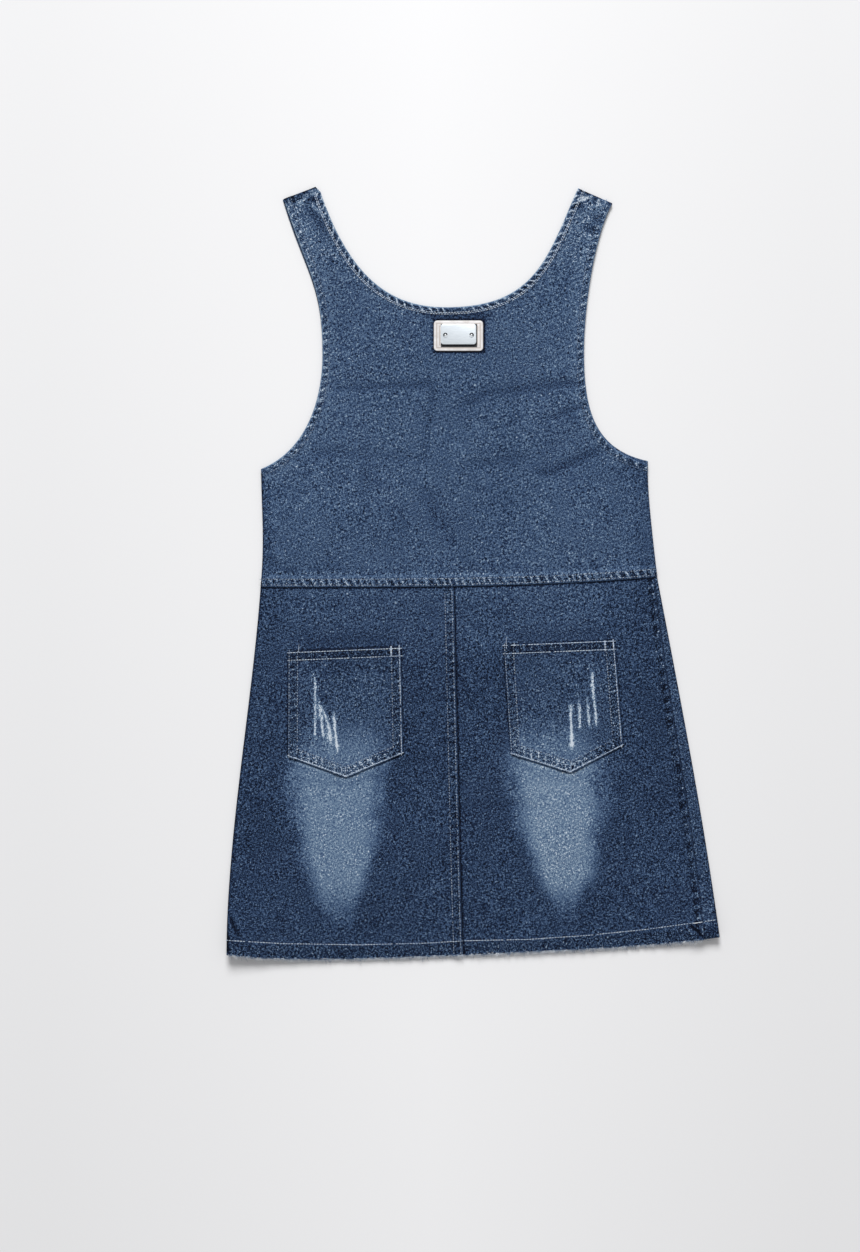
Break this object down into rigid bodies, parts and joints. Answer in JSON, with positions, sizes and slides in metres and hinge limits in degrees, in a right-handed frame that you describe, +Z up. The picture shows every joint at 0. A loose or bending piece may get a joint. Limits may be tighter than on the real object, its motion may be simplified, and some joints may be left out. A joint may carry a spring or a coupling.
{
  "type": "pinafore dress",
  "caption": "Sleeveless denim pinafore dress laid flat, with wide straps, a waist seam, an A-line skirt, patch pockets at the back and a leather patch with a metal plate.",
  "frame": {"origin": "middle of the dress's outline, on the surface that it lies on", "axes": "+Z up from the surface through the front to the back, +Y from the hem to the straps, +X to the right as seen from above"},
  "size_m": [0.5416, 0.8503, 0.0119],
  "materials": {
    "bodice_denim": "matt blue twill, worn paler",
    "skirt_denim": "matt dark blue twill, faded below the pockets",
    "front_denim": "matt dark blue twill",
    "pocket_denim": "matt blue twill with worn slashes",
    "patch_leather": "pale grey smooth leather",
    "plate_metal": "light satin metal",
    "thread": "matt tan sewing thread",
    "rivet_metal": "polished"
  },
  "bodies": {
    "root": {"front_bodice": "front_denim", "front_skirt": "front_denim", "back_bodice": "bodice_denim", "back_skirt_left": "skirt_denim", "back_skirt_right": "skirt_denim", "pocket_left": "pocket_denim", "pocket_right": "pocket_denim", "label_patch": "patch_leather", "label_plate": "plate_metal", "label_rivet_left": "rivet_metal", "label_rivet_right": "rivet_metal"}
  },
  "joints": []
}
